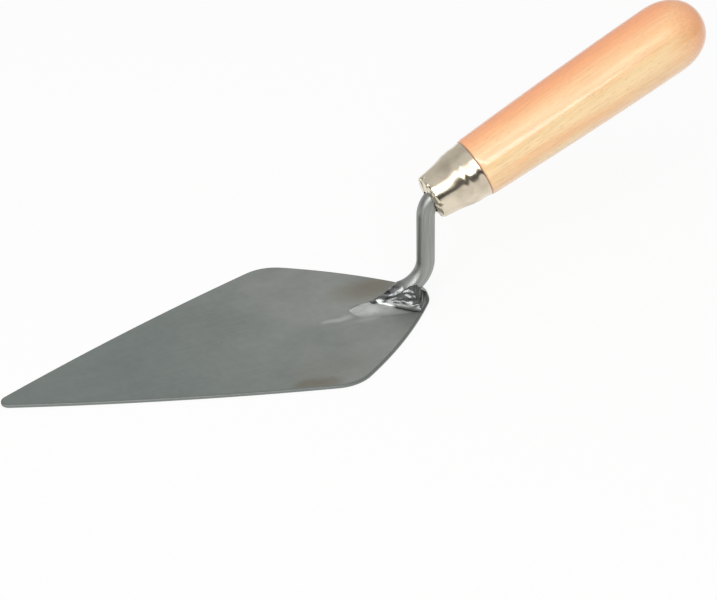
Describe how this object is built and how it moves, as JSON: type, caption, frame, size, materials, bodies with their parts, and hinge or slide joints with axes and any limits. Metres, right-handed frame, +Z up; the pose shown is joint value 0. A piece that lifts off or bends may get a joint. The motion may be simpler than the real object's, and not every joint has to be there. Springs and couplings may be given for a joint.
{
  "type": "pointing trowel",
  "caption": "Small kite-shaped brick trowel with a flat steel blade, a cranked welded shank, a plated ferrule and a turned wooden handle, for laying and pointing mortar.",
  "frame": {"origin": "the blade's underside, on its centre line, at its widest section", "axes": "+X from the blade's tip towards the end of the handle, +Y to the blade's left edge, +Z up from the blade towards the handle"},
  "size_m": [0.253, 0.0784, 0.0894],
  "materials": {
    "blade_steel": "satin ground and clear lacquered carbon steel, mid grey",
    "shank_steel": "polished round bar",
    "weld_steel": "rippled weld metal, wire brushed and lacquered",
    "ferrule_nickel": "nickel plated, warm",
    "handle_wood": "clear lacquered pale hardwood"
  },
  "bodies": {
    "root": {"blade": "blade_steel", "shank": "shank_steel", "weld_bead_left": "weld_steel", "weld_bead_right": "weld_steel", "ferrule": "ferrule_nickel", "handle": "handle_wood"}
  },
  "joints": []
}
